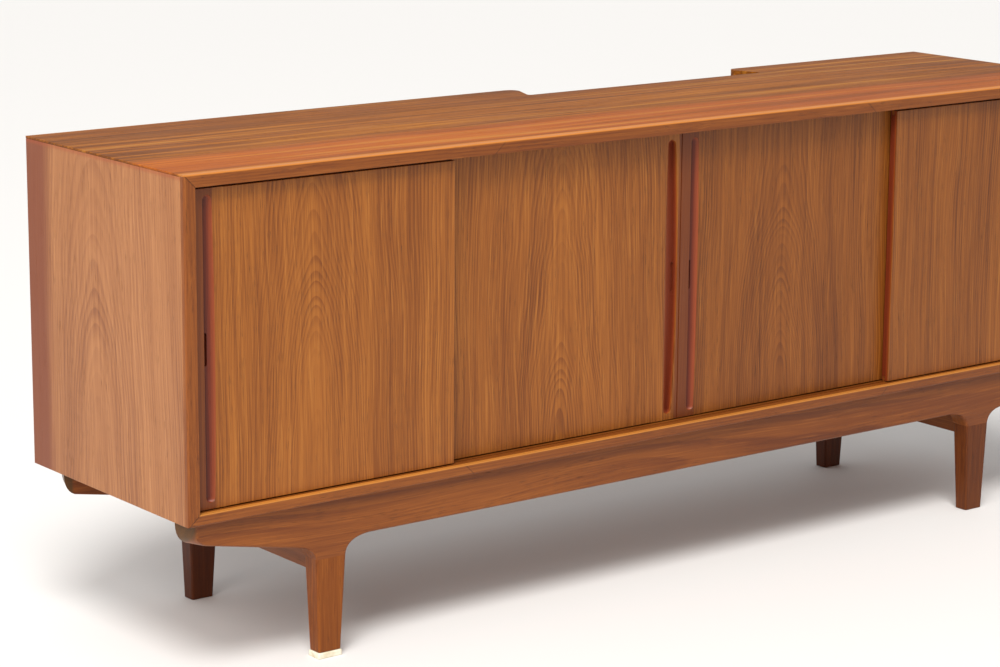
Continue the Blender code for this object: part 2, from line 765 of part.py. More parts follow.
def apron(name, face, front):
    """A rail with tapered wings and a boss over each leg; front is -1 or 1."""
    wing_foot = (HALF_LENGTH - APRON_END_INSET - APRON_END_RUN, -APRON_END_HEIGHT)
    tip = (HALF_LENGTH - APRON_END_INSET, -APRON_TIP_HEIGHT)
    outer_leg = HALF_LENGTH - LEG_INSET
    inner_leg = outer_leg - LEG_TOP_WIDTH
    fillet_top = (outer_leg + OUTER_FILLET_RUN, -BOSS_HEIGHT + OUTER_FILLET_RISE)
    inner_end = (inner_leg - INNER_FILLET_RUN, -APRON_HEIGHT)
    half = [(tip[0], 0), tip]
    half += curve_between(tip, (tip[0] - APRON_TIP_EASE, -APRON_TIP_CURVE), wing_foot, 6)
    half.append(fillet_top)
    outer_control = (outer_leg + OUTER_FILLET_EASE, fillet_top[1] - OUTER_FILLET_EASE)
    half += curve_between(fillet_top, outer_control, (outer_leg, -BOSS_HEIGHT), 8)
    inner_start = (inner_leg, -BOSS_HEIGHT)
    half.append(inner_start)
    inner_control = (inner_leg - INNER_FILLET_EASE, -APRON_HEIGHT - INNER_FILLET_EASE)
    half += curve_between(inner_start, inner_control, inner_end, 10)
    other_half = [(-across, up) for across, up in reversed(half)]
    middle_y = face - front * APRON_THICKNESS / 2
    place = Vector((0, middle_y, CASE_FLOOR - GAP))
    piece = flat_outline(name, half + other_half, APRON_THICKNESS, place, SOLID)
    flare_ends(piece, front)
    outward = -front
    round_edges(piece, APRON_ROUND, lambda middle, direction: on_apron_arris(middle, outward), 3)
    shade(piece)
    cut(piece, stand_screw_holes(name + "_screw_holes"))
    for side in (-1, 1):
        cut(piece, leg_tenon(f"{name}_mortise_{side}", side, front, GAP))
        cut(piece, rail_tenons(f"{name}_rail_mortises_{side}", side, front, GAP))


def flare_ends(piece, front):
    """Push the hidden side of both ends outwards, so that the end faces slant."""
    limit = HALF_LENGTH - APRON_END_INSET - APRON_END_RUN - GAP
    for vertex in piece.data.vertices:
        hidden = vertex.co.z * front > 0
        if abs(vertex.co.x) > limit and hidden:
            vertex.co.x += math.copysign(APRON_END_FLARE, vertex.co.x)


def on_apron_arris(middle, outward):
    """True on the lower edge of the outer face, except where it meets a leg."""
    on_face = middle.z * outward > APRON_THICKNESS / 2 - GAP
    return on_face and -BOSS_HEIGHT + GAP < middle.y < -GAP


def leg_places():
    """Name, side along X, and which row each leg stands in."""
    for row, front in (("front", -1), ("rear", 1)):
        for label, side in (("left", -1), ("right", 1)):
            yield "leg_" + row + "_" + label, side, front


def leg_top_y(front):
    """Middle of a leg's top, under the middle of its apron."""
    face = APRON_FACE if front < 0 else REAR_APRON_FACE
    return face - front * APRON_THICKNESS / 2


def leg(name, side, front, foot):
    """A tapered leg, from its foot's height up to the boss above it."""
    head = BOSS_FOOT - 2 * GAP
    share = (head - foot) / head
    shape = bmesh.new()
    bmesh.ops.create_cube(shape, size=1.0)
    bmesh.ops.scale(shape, verts=shape.verts, vec=(LEG_TOP_WIDTH, APRON_THICKNESS, head - foot))
    bmesh.ops.translate(shape, verts=shape.verts, vec=(0, 0, (head + foot) / 2))
    for vertex in shape.verts:
        if vertex.co.z < (head + foot) / 2:
            taper_x = LEG_OUTER_TAPER if vertex.co.x * side > 0 else LEG_INNER_TAPER
            taper_y = LEG_FACE_TAPER if vertex.co.y * front > 0 else LEG_REAR_TAPER
            vertex.co.x -= math.copysign(share * taper_x, vertex.co.x)
            vertex.co.y -= math.copysign(share * taper_y, vertex.co.y)
    place = (side * LEG_CENTRE_X, leg_top_y(front), 0)
    piece = add_object(name, mesh_from(shape, name), place, SOLID)
    round_edges(piece, APRON_ROUND, lambda middle, direction: abs(direction.z) > ALONG, 4)
    shade(piece)
    cut(piece, leg_tenon(name + "_tenon", side, front), "UNION")
    cut(piece, rail_tenons(name + "_rail_mortises", side, front, GAP))


def legs():
    """Four legs; the front left one is shorter and stands on a pad."""
    for name, side, front in leg_places():
        padded = name == "leg_front_left"
        leg(name, side, front, PAD_THICKNESS + GAP if padded else 0.0)
    share = 1 - PAD_THICKNESS / BOSS_FOOT
    outer_x = -(HALF_LENGTH - LEG_INSET) + share * LEG_OUTER_TAPER
    inner_x = outer_x + LEG_TOP_WIDTH - share * (LEG_OUTER_TAPER + LEG_INNER_TAPER)
    near_y = APRON_FACE + share * LEG_FACE_TAPER
    far_y = APRON_FACE + APRON_THICKNESS - share * LEG_REAR_TAPER
    low = (outer_x - PAD_PROUD, near_y - PAD_PROUD, 0)
    high = (inner_x + PAD_PROUD, far_y + PAD_PROUD, PAD_THICKNESS)
    pad = box("foot_pad", low, high, FELT)
    round_edges(pad, PAD_ROUND, lambda middle, direction: abs(direction.z) > ALONG or middle.z > 0)
    shade(pad)


def tenons(name, radius, length, shoulders, axis, slack):
    """Round tenons from their shoulders, or their mortises when there is slack.

    Each one also runs back from its shoulder, into its own piece.
    """
    reach = length + slack
    profile = [(0, -OVERCUT / 2), (radius + slack, -OVERCUT / 2), (radius + slack, reach), (0, reach)]
    return turned(name, profile, shoulders, axis, None)


def leg_tenon(name, side, front, slack=0.0):
    shoulder = Vector((side * LEG_CENTRE_X, leg_top_y(front), BOSS_FOOT))
    return tenons(name, LEG_TENON_RADIUS, LEG_TENON_LENGTH, [shoulder], (0, 0, 1), slack)


def rail_tenons(name, side, front, slack=0.0):
    along = leg_top_y(front) - front * APRON_THICKNESS / 2
    levels = (RAIL_LOW + RAIL_TENON_OFFSET, RAIL_LOW + RAIL_HEIGHT - RAIL_TENON_OFFSET)
    shoulders = [Vector((side * RAIL_CENTRE_X, along, level)) for level in levels]
    return tenons(name, RAIL_TENON_RADIUS, RAIL_TENON_LENGTH, shoulders, (0, front, 0), slack)


def cross_rails():
    """Rails from the front legs to the rear legs, tenoned at both ends."""
    near = APRON_FACE + APRON_THICKNESS + GAP
    far = REAR_APRON_FACE - APRON_THICKNESS - GAP
    for name, side in (("cross_rail_left", -1), ("cross_rail_right", 1)):
        corners = mirrored(
            (RAIL_CENTRE_X - RAIL_THICKNESS / 2, near, RAIL_LOW),
            (RAIL_CENTRE_X + RAIL_THICKNESS / 2, far, RAIL_LOW + RAIL_HEIGHT),
            side,
        )
        rail = box(name, *corners, SOLID)
        round_edges(rail, RAIL_ROUND, lambda middle, direction: middle.z < 0 and abs(direction.y) > ALONG)
        for row, front in (("front", -1), ("rear", 1)):
            cut(rail, rail_tenons(f"{name}_{row}_tenons", side, front), "UNION")


def stand_screw_places():
    """Where the stand screws' heads sit, inside pockets in both aprons."""
    level = CASE_FLOOR - STAND_SCREW_GRIP
    rows = (leg_top_y(-1), leg_top_y(1))
    return [Vector((STAND_SCREW_SPACING * step, row, level)) for step in (-1, 0, 1) for row in rows]


def stand_screw_holes(name):
    """Cutter for the screws' holes, with a pocket under each for its head."""
    hole, pocket = STAND_SCREW_RADIUS + GAP, STAND_SCREW_HEAD + 2 * GAP
    reach = STAND_SCREW_GRIP + STAND_SCREW_BITE + GAP
    profile = [(0, -BOSS_HEIGHT), (pocket, -BOSS_HEIGHT), (pocket, 0), (hole, 0), (hole, reach), (0, reach)]
    return turned(name, profile, stand_screw_places(), (0, 0, 1), None)


def stand_screws():
    """Six screws that hold the case down on the aprons."""
    profile = screw_profile(STAND_SCREW_RADIUS, STAND_SCREW_HEAD, STAND_SCREW_GRIP + STAND_SCREW_BITE)
    for number, place in enumerate(stand_screw_places(), 1):
        turned(f"stand_screw_{number}", profile, [place - Vector((0, 0, GAP))], (0, 0, 1), STEEL)


top_board()
bottom_board()
side_boards()
front_lippings()
back_panel()
partition()
tracks()
shelves()
doors()
apron("front_apron", APRON_FACE, -1)
apron("rear_apron", REAR_APRON_FACE, 1)
legs()
cross_rails()
stand_screws()
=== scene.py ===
"""Looks of the teak sideboard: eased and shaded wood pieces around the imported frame.

Metres, +Z up. Every piece is a finished copy of one CAD node at its place at rest,
and rides on that node's body.
"""

import json
import math

import bmesh
import bpy
from mathutils import Matrix, Vector

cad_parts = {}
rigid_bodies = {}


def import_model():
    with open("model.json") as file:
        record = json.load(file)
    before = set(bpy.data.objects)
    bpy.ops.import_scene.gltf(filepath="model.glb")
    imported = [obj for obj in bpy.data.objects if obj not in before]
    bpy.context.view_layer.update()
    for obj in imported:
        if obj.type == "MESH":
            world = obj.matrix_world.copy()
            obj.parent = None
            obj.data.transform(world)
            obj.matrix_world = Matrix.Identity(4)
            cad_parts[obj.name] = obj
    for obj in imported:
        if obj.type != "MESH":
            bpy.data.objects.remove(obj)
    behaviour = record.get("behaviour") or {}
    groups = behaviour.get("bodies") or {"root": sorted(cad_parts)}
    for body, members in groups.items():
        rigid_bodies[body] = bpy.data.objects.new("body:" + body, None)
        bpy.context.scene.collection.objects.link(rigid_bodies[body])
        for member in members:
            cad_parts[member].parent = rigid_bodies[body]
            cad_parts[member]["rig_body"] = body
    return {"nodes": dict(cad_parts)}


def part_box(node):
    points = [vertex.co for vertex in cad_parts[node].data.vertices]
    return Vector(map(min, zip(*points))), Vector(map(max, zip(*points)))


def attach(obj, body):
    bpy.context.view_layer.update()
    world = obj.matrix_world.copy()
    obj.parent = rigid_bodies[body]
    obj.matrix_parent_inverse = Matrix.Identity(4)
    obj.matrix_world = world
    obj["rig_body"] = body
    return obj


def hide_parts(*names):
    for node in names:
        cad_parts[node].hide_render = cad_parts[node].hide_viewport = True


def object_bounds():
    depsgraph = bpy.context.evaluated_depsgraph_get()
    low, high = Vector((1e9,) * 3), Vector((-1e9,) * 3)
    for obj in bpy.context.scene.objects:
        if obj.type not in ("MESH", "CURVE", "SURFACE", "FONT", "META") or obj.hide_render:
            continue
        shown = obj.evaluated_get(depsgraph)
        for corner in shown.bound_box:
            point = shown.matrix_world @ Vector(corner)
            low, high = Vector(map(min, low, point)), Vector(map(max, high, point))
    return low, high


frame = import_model()
CAD_LOW, CAD_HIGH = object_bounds()

AXES = {"X": 0, "Y": 1, "Z": 2}
DOORS = ("door_front_left", "door_rear_left", "door_rear_right", "door_front_right")
HARDWARE = ("shelf_pin", "stand_screw")

# Easing of the pieces
ARRIS = 0.0009
FINE_ARRIS = 0.0003
ARRIS_PROFILE = 0.6
WELD_REACH = 0.00002
FLAT_ANGLE = math.radians(0.6)
SHARP_ANGLE = math.radians(50)
SMOOTH_ANGLE = math.radians(40)
SEAM_REACH = 0.0004
ON_PLANE = 0.0001
ON_JOINT = 0.00005

# Places on the case and the stand
CASE_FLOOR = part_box("bottom_board")[0].z
INNER_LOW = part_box("bottom_board")[1].z
SIDE_THICKNESS = 0.020
MITRE_SLOPE = SIDE_THICKNESS / (INNER_LOW - CASE_FLOOR)
BOSS_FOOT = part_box("front_apron")[0].z
JOINT_GAP = 0.0003
JOINT_PLANES = (BOSS_FOOT, BOSS_FOOT - JOINT_GAP)
JOINT_HEIGHT = BOSS_FOOT - JOINT_GAP / 2

# Colours as display values: each wood from its darkest to its lightest, then single tints
TEAK = ((82, 38, 8), (122, 65, 18), (152, 89, 30), (182, 118, 50))
TEAK_DEEP = ((74, 33, 6), (110, 57, 14), (138, 78, 24), (166, 105, 42))
TEAK_TOP = ((70, 32, 4), (118, 62, 10), (154, 88, 18), (192, 124, 38))
TEAK_SIDE = ((112, 58, 26), (142, 87, 47), (164, 108, 64), (184, 128, 82))
TEAK_SOLID = ((80, 32, 6), (110, 54, 13), (132, 71, 21), (158, 92, 34))
# Darker copies of the leg teak: painted shade on the legs under the case, half for the front right
# leg and full for the rear legs
TEAK_PAINTED_HALF_SHADE = ((60, 24, 4), (88, 40, 8), (108, 54, 15), (130, 72, 26))
TEAK_PAINTED_SHADE = ((46, 16, 2), (70, 28, 6), (86, 38, 10), (102, 50, 16))
# Red of the pulls' solid wood; its darker end is painted shade deep in the pull
PULL_RED_SHADED = ((60, 18, 6), (104, 38, 16), (136, 60, 26), (162, 88, 42))
MARGIN_RED = (98, 42, 15)
FRONT_RED = (196, 92, 20)
REAR_RED = (112, 50, 22)
CROWN_RED = (150, 66, 28)
DARK_STRIPE = (96, 50, 12)
PALE_STRIPE = (196, 134, 50)
# Painted highlight along the top board's front arris
ARRIS_PAINTED_HIGHLIGHT = (222, 146, 62)
# Painted highlights on the bottom lipping's ledge and along the top lipping's upper arris
LEDGE_PAINTED_HIGHLIGHT = (224, 150, 66)
TOP_PAINTED_HIGHLIGHT = (224, 142, 62)
GLUE_LINE = (34, 14, 6)
# Olive brown of the apron ends: end grain's own darker colour and painted shade
SAWN_END_AND_SHADE = (70, 54, 28)
ZINC = ((150, 150, 146), (196, 194, 186))
CREAM = ((206, 194, 164), (228, 220, 200), (236, 230, 214))
TONE_STOPS = (0.06, 0.36, 0.64, 0.95)
PULL_STOPS = (0.1, 0.4, 0.7, 0.95)

# How often marks in the wood change per metre, across, along and through the grain
SWAY = (3.0, 1.5, 3.0)
RIPPLE = (22.0, 2.2, 22.0)
HEAVE = (0.0, 3.2, 0.0)
FIBRE = (620.0, 5.0, 620.0)
STRAND = (150.0, 1.6, 150.0)
DRIFT = (14.0, 0.9, 14.0)
PORES = (1500.0, 42.0, 1500.0)
PORE_FIELD = (90.0, 6.0, 90.0)
FLECK = (520.0, 9.0, 520.0)
WEAR = (7.0, 7.0, 7.0)

# How far the grain wanders, in metres, and how the log's taper fades sideways
SWAY_REACH = 0.050
RIPPLE_REACH = 0.007
HEAVE_REACH = 0.45
TAPER_FADE = 120.0
RING_DRIFT = 1.8

# Shares of each kind of mark in the wood's tone, colour, polish and relief
BASE_TONE = 0.56
DRIFT_TONE = 0.40
HUE_TONE = 0.34
FIBRE_TONE = 0.75
LATE_TONE = -0.23
PORE_SHARE = 0.55
PORE_DARKNESS = 0.55
LIGHT_FLECK = 0.38
DARK_FLECK = 0.36
LATE_POLISH = -0.06
PORE_POLISH = 0.18
WEAR_POLISH = 0.12
FIBRE_RELIEF = 0.35
RELIEF_DEPTH = 0.00012

# Pulls: how far their solid wood reaches from the door's edge, where the colour has
# turned behind the face, and how dark the painted shade at the bottom is, on a left and on a right
# stile
PULL_LEFT = (0.038, 0.0012, 0.06)
PULL_RIGHT = (0.0055, 0.0042, 0.22)

# Camera, floor and light
LENS_MM = 105.22
SENSOR_MM = 36.0
CLIP_END = 100.0
CAMERA_PLACE = (-3.2205, -3.8878, 1.4975)
CAMERA_YAW = 0.65639
CAMERA_PITCH = 0.21601
CAMERA_ROLL = 0.00759
FLOOR_HALF_SIZE = 30.0
FLOOR_DROP = 0.0005
FLOOR_COLOUR = (0.80, 0.795, 0.79, 1.0)
FLOOR_ROUGHNESS = 0.75
SKY_COLOUR = (1.0, 0.99, 0.975, 1.0)
SKY_STRENGTH = 0.60
SUN_STRENGTH = 2.3
SUN_ANGLE = math.radians(22)
SUN_COLOUR = (1.0, 0.975, 0.94)
SUN_DIRECTION = (0.42, 0.50, -1.0)
KEY_PLACE = (-4.4, -2.2, 3.2)
KEY_TARGET = (-0.5, 0.0, 0.5)
KEY_SIZE = (2.4, 2.0)
KEY_POWER = 140
KEY_COLOUR = (1.0, 0.97, 0.93)


# Shader building ---------------------------------------------------------------


class Graph:
    """A material's nodes, written as plain sums of sockets and numbers."""

    def __init__(self, name):
        self.material = bpy.data.materials.new(name)
        self.material.use_nodes = True
        self.tree = self.material.node_tree
        self.tree.nodes.clear()
        output = self.tree.nodes.new("ShaderNodeOutputMaterial")
        self.shader = self.tree.nodes.new("ShaderNodeBsdfPrincipled")
        self.tree.links.new(self.shader.outputs[0], output.inputs[0])

    def put(self, value, socket):
        if isinstance(value, bpy.types.NodeSocket):
            self.tree.links.new(value, socket)
        else:
            socket.default_value = value

    def math(self, operation, *values, clamp=False):
        node = self.tree.nodes.new("ShaderNodeMath")
        node.operation = operation
        node.use_clamp = clamp
        for value, socket in zip(values, node.inputs):
            self.put(value, socket)
        return node.outputs[0]

    def sway(self, noise, reach, base, clamp=False):
        """A base moved up and down by a noise around its middle."""
        return self.math("MULTIPLY_ADD", self.math("SUBTRACT", noise, 0.5), reach, base, clamp=clamp)

    def place(self):
        """X, Y and Z of a point on the piece, in metres in the frame at rest."""
        coordinates = self.tree.nodes.new("ShaderNodeTexCoord")
        split = self.tree.nodes.new("ShaderNodeSeparateXYZ")
        self.tree.links.new(coordinates.outputs["Object"], split.inputs[0])
        return tuple(split.outputs)

    def vector(self, *values):
        node = self.tree.nodes.new("ShaderNodeCombineXYZ")
        for value, socket in zip(values, node.inputs):
            self.put(value, socket)
        return node.outputs[0]

    def noise(self, place, scale, detail, roughness, seed):
        """Noise between about 0 and 1, squeezed along each axis by its own scale."""
        axes = zip(place, scale)
        scaled = [self.math("MULTIPLY_ADD", value, size, seed) for value, size in axes]
        node = self.tree.nodes.new("ShaderNodeTexNoise")
        node.inputs["Scale"].default_value = 1.0
        node.inputs["Detail"].default_value = detail
        node.inputs["Roughness"].default_value = roughness
        self.put(self.vector(*scaled), node.inputs["Vector"])
        return node.outputs["Fac"]

    def between(self, value, low, high, low_out=0.0, high_out=1.0):
        """A smooth step from low_out to high_out while the value goes from low to high."""
        node = self.tree.nodes.new("ShaderNodeMapRange")
        node.interpolation_type = "SMOOTHSTEP"
        for number, part in enumerate((value, low, high, low_out, high_out)):
            self.put(part, node.inputs[number])
        return node.outputs[0]

    def ramp(self, value, positions, colours):
        node = self.tree.nodes.new("ShaderNodeValToRGB")
        elements = node.color_ramp.elements
        while len(elements) < len(colours):
            elements.new(0.5)
        for element, position, colour in zip(elements, positions, colours):
            element.position = position
            element.color = (*linear(colour), 1.0)
        self.put(value, node.inputs[0])
        return node.outputs[0]

    def tint(self, colour, where, share, tint):
        """The colour with a share of a tint where a mask is 1."""
        return self.mix(self.math("MULTIPLY", where, share), colour, tint)

    def mix(self, share, one, other):
        node = self.tree.nodes.new("ShaderNodeMix")
        node.data_type = "RGBA"
        self.put(share, node.inputs["Factor"])
        for value, socket in ((one, node.inputs["A"]), (other, node.inputs["B"])):
            if isinstance(value, tuple):
                value = (*linear(value), 1.0)
            self.put(value, socket)
        return node.outputs["Result"]

    def bump(self, height, distance):
        node = self.tree.nodes.new("ShaderNodeBump")
        node.inputs["Strength"].default_value = 1.0
        node.inputs["Distance"].default_value = distance
        self.put(height, node.inputs["Height"])
        self.put(node.outputs[0], self.shader.inputs["Normal"])


def linear(colour):
    """Scene-linear colour from display values between 0 and 255."""
    values = [channel / 255 for channel in colour]
    return tuple(v / 12.92 if v <= 0.04045 else ((v + 0.055) / 1.055) ** 2.4 for v in values)


# Wood --------------------------------------------------------------------------


class Figure:
    """Where a board was cut from its log: how its growth rings cross the face.

    grain names the axes across, along and through the grain. centre is the point over
    the log's heart, across and along the grain. depth is how far the heart lies behind
    the face and lean is the log's taper: together they make the pointed arches of a
    flat-sawn board. ring is the width of a year.
    """

    def __init__(self, grain, centre, depth, lean, ring, seed):
        self.across, self.along, self.behind = (AXES[letter] for letter in grain)
        self.centre, self.depth, self.lean = centre, depth, lean
        self.ring, self.seed = ring, seed


def teak(name, colours, figure, streak=0.55, rough=0.42, shine=0.30, pull=None, band=None):
    """Oiled teak: rings, fibre streaks, open pores and slow drifts of colour."""
    graph = Graph(name)
    here = graph.place()
    across, along, behind = here[figure.across], here[figure.along], here[figure.behind]
    seed = figure.seed
    side = grain_offset(graph, (across, along, behind), figure)
    radius = ring_radius(graph, side, along, behind, figure)
    late, hue = ring_marks(graph, radius, along, figure)

    local = (side, along, behind)
    fibre = graph.noise(local, FIBRE, 3.0, 0.6, seed + 1.7)
    strand = graph.noise(local, STRAND, 3.0, 0.6, seed + 5.9)
    drift = graph.noise(local, DRIFT, 3.0, 0.55, seed + 9.4)
    tone = graph.sway(drift, DRIFT_TONE, BASE_TONE)
    tone = graph.sway(hue, HUE_TONE, tone)
    tone = graph.sway(strand, streak, tone)
    tone = graph.sway(fibre, streak * FIBRE_TONE, tone)
    tone = graph.math("MULTIPLY_ADD", late, LATE_TONE, tone, clamp=True)
    colour = graph.ramp(tone, TONE_STOPS, colours)

    pores = graph.between(graph.noise(local, PORES, 1.0, 0.5, seed + 2.2), 0.60, 0.72)
    field = graph.noise(local, PORE_FIELD, 2.0, 0.5, seed + 8.8)
    pores = graph.math("MULTIPLY", pores, graph.between(field, 0.40, 0.60, 0.15, 1.0))
    colour = graph.tint(colour, pores, PORE_SHARE, tuple(c * PORE_DARKNESS for c in colours[0]))

    fleck = graph.noise(local, FLECK, 2.0, 0.5, seed + 13.0)
    colour = graph.mix(graph.between(fleck, 0.56, 0.72, 0.0, LIGHT_FLECK), colour, colours[3])
    colour = graph.mix(graph.between(fleck, 0.44, 0.28, 0.0, DARK_FLECK), colour, colours[0])
    if band is not None:
        colour = band(graph, here, colour)
    if pull is not None:
        colour = pull_wood_and_shade(graph, here, colour, tone, *pull)

    polish = graph.math("MULTIPLY_ADD", late, LATE_POLISH, rough)
    polish = graph.math("MULTIPLY_ADD", pores, PORE_POLISH, polish)
    worn = graph.noise(here, WEAR, 3.0, 0.6, seed + 4.4)
    polish = graph.sway(worn, WEAR_POLISH, polish, clamp=True)
    relief = graph.math("MULTIPLY", fibre, FIBRE_RELIEF)
    graph.bump(graph.math("MULTIPLY_ADD", pores, -1.0, relief), RELIEF_DEPTH)
    graph.put(colour, graph.shader.inputs["Base Color"])
    graph.put(polish, graph.shader.inputs["Roughness"])
    graph.shader.inputs["Specular IOR Level"].default_value = shine
    return graph.material


def grain_offset(graph, local, figure):
    """Distance sideways from the log's heart, along fibres that wander a little."""
    slow = graph.noise(local, SWAY, 2.0, 0.5, figure.seed)
    quick = graph.noise(local, RIPPLE, 3.0, 0.55, figure.seed + 7.3)
    shift = graph.sway(quick, RIPPLE_REACH, graph.sway(slow, SWAY_REACH, 0.0))
    return graph.math("ADD", graph.math("SUBTRACT", local[0], figure.centre[0]), shift)


def ring_radius(graph, side, along, behind, figure):
    """Which growth ring a point lies on, as a radius in a tapering log."""
    heave = graph.noise((0.0, along, 0.0), HEAVE, 2.0, 0.5, figure.seed + 6.1)
    rise = graph.sway(heave, HEAVE_REACH, graph.math("SUBTRACT", along, figure.centre[1]))
    away = graph.math("MULTIPLY_ADD", graph.math("MULTIPLY", side, side), TAPER_FADE, 1.0)
    rise = graph.math("DIVIDE", rise, away)
    spread = graph.math("MULTIPLY_ADD", side, side, figure.depth * figure.depth)
    radius = graph.math("MULTIPLY_ADD", rise, figure.lean, graph.math("SQRT", spread))
    return graph.math("ADD", radius, behind)


def ring_marks(graph, radius, along, figure):
    """Late wood at the end of each year, and the hue of a few years together."""
    ring, seed = figure.ring, figure.seed
    place = (radius, along, 0.0)
    growth = graph.noise(place, (1 / (2.4 * ring), 0.5, 0.0), 2.0, 0.6, seed + 3.1)
    years = graph.math("MULTIPLY_ADD", growth, RING_DRIFT, graph.math("DIVIDE", radius, ring))
    year = graph.math("FRACT", years)
    late = graph.between(year, 0.15, 0.90)
    late = graph.math("MULTIPLY", late, graph.between(year, 1.0, 0.92))
    vigour = graph.noise(place, (1 / (5 * ring), 1.4, 0.0), 2.0, 0.5, seed + 11.0)
    late = graph.math("MULTIPLY", late, graph.between(vigour, 0.34, 0.66, 0.10, 1.0))
    hue = graph.noise(place, (1 / (3 * ring), 0.8, 0.0), 3.0, 0.6, seed + 14.0)
    return late, hue


def pull_wood_and_shade(graph, here, colour, tone, face, edge, side):
    """Redder solid wood in a door's pull and on the margin between the pull and the edge,
    with painted shade that darkens the pull towards its bottom.

    face is the Y of the door's face, edge is the X of its edge beside the pull, and
    side is -1 where that edge is the left one.
    """
    reach, turned, bottom = PULL_LEFT if side < 0 else PULL_RIGHT
    from_edge = graph.math("ABSOLUTE", graph.math("SUBTRACT", here[0], edge))
    margin = graph.between(from_edge, reach, reach - 0.0015)
    colour = graph.tint(colour, margin, 0.74, MARGIN_RED)
    carved = graph.between(here[1], face + 0.0003, face + turned)
    # Painted shade: the pull darkens from its face towards its bottom
    pull_depth_shade = graph.between(here[1], face + 0.0010, face + 0.0085, 0.52, bottom)
    inside = graph.math("MULTIPLY_ADD", tone, 0.35, pull_depth_shade)
    return graph.mix(carved, colour, graph.ramp(inside, PULL_STOPS, PULL_RED_SHADED))


def top_bands(graph, here, colour):
    """Broad stripes of the top's veneer, redder at the front, with a painted highlight along the
    front arris.
    """
    wander = graph.noise(here, (1.1, 7.0, 0.0), 2.0, 0.5, 2.0)
    place = graph.sway(wander, 0.06, here[1])
    front = graph.between(place, -0.075, -0.105)
    colour = graph.tint(colour, front, 0.38, FRONT_RED)
    stripes = graph.noise((place, here[0], 0.0), (34.0, 0.5, 0.0), 3.0, 0.65, 12.0)
    colour = graph.tint(colour, graph.between(stripes, 0.52, 0.60), 0.42, DARK_STRIPE)
    colour = graph.tint(colour, graph.between(stripes, 0.44, 0.36), 0.40, PALE_STRIPE)
    # Painted highlight along the top's front arris
    arris = graph.between(here[1], CAD_LOW[1] + 0.022, CAD_LOW[1] + 0.010)
    return graph.tint(colour, arris, 0.55, ARRIS_PAINTED_HIGHLIGHT)


def rear_band(graph, here, colour):
    """A darker, redder stretch of veneer along the rear edge of a side."""
    wander = graph.noise(here, (0.0, 20.0, 2.0), 2.0, 0.5, 6.0)
    place = graph.sway(wander, 0.012, here[1])
    rear = graph.between(place, CAD_HIGH[1] - 0.085, CAD_HIGH[1] - 0.045)
    colour = graph.tint(colour, rear, 0.85, REAR_RED)
    crown = graph.between(here[2], CAD_HIGH[2] - 0.012, CAD_HIGH[2] - 0.006)
    return graph.tint(colour, crown, 0.45, CROWN_RED)


def lipping_glue_and_highlights(graph, here, colour):
    """Dark glue lines at the mitres, and painted highlights along the arrises of the ledge and the
    top.
    """
    from_end = graph.math("SUBTRACT", CAD_HIGH[0], graph.math("ABSOLUTE", here[0]))
    from_top = graph.math("SUBTRACT", CAD_HIGH[2], here[2])
    from_foot = graph.math("MULTIPLY", graph.math("SUBTRACT", here[2], CASE_FLOOR), MITRE_SLOPE)
    for height in (from_top, from_foot):
        off = graph.math("ABSOLUTE", graph.math("SUBTRACT", from_end, height))
        colour = graph.tint(colour, graph.between(off, 0.0009, 0.0004), 0.75, GLUE_LINE)
    # Painted highlight on the bottom lipping's ledge in front of the doors
    ledge = graph.between(here[2], INNER_LOW - 0.0022, INNER_LOW - 0.0006)
    below = graph.between(here[2], INNER_LOW + 0.004, INNER_LOW + 0.002)
    ledge = graph.math("MULTIPLY", ledge, below)
    inward = graph.math("SUBTRACT", from_end, from_foot)
    ledge = graph.math("MULTIPLY", ledge, graph.between(inward, -0.0004, 0.0004))
    colour = graph.tint(colour, ledge, 0.55, LEDGE_PAINTED_HIGHLIGHT)
    # Painted highlight along the top lipping's upper arris
    return graph.tint(colour, graph.between(from_top, 0.0030, 0.0012), 0.60, TOP_PAINTED_HIGHLIGHT)


def end_grain_and_shade(graph, here, colour):
    """The sawn ends of the aprons, darkened to an olive brown: darker end grain with painted shade.
    """
    reach = graph.math("ABSOLUTE", here[0])
    # Painted shade on the apron ends, together with the end grain's darker colour
    sawn = graph.between(reach, CAD_HIGH[0] - 0.024, CAD_HIGH[0] - 0.018)
    return graph.tint(colour, sawn, 0.75, SAWN_END_AND_SHADE)


# Pieces ------------------------------------------------------------------------


def refined(node, material, arris=ARRIS, seams=(), joint=False):
    """A piece of the node's own shape, with eased arrises and smooth round stretches.

    seams are X values where the piece meets its neighbour without an arris: there its
    edge moves half the joint's gap, so that the two faces run on into each other. With
    joint, the same is done where a leg meets its boss.
    """
    source = frame["nodes"][node]
    body = bmesh.new()
    body.from_mesh(source.data)
    bmesh.ops.remove_doubles(body, verts=body.verts, dist=WELD_REACH)
    bmesh.ops.dissolve_limit(body, angle_limit=FLAT_ANGLE, verts=body.verts, edges=body.edges)
    close_gaps(body, seams, joint)
    chosen = [edge for edge in body.edges if sharp(edge) and not on_seam(edge, seams)]
    if joint:
        chosen = [edge for edge in chosen if not at_joint(edge)]
    bmesh.ops.bevel(
        body,
        geom=chosen,
        offset=arris,
        offset_type="OFFSET",
        segments=2,
        profile=ARRIS_PROFILE,
        affect="EDGES",
        clamp_overlap=True,
    )
    mesh = bpy.data.meshes.new(node + "_wood")
    body.to_mesh(mesh)
    body.free()
    mesh.shade_smooth()
    mesh.set_sharp_from_angle(angle=SMOOTH_ANGLE)
    piece = bpy.data.objects.new(node + "_finished", mesh)
    bpy.context.scene.collection.objects.link(piece)
    normals = piece.modifiers.new("normals", "WEIGHTED_NORMAL")
    normals.keep_sharp = True
    mesh.materials.append(material)
    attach(piece, source["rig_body"])
    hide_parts(node)


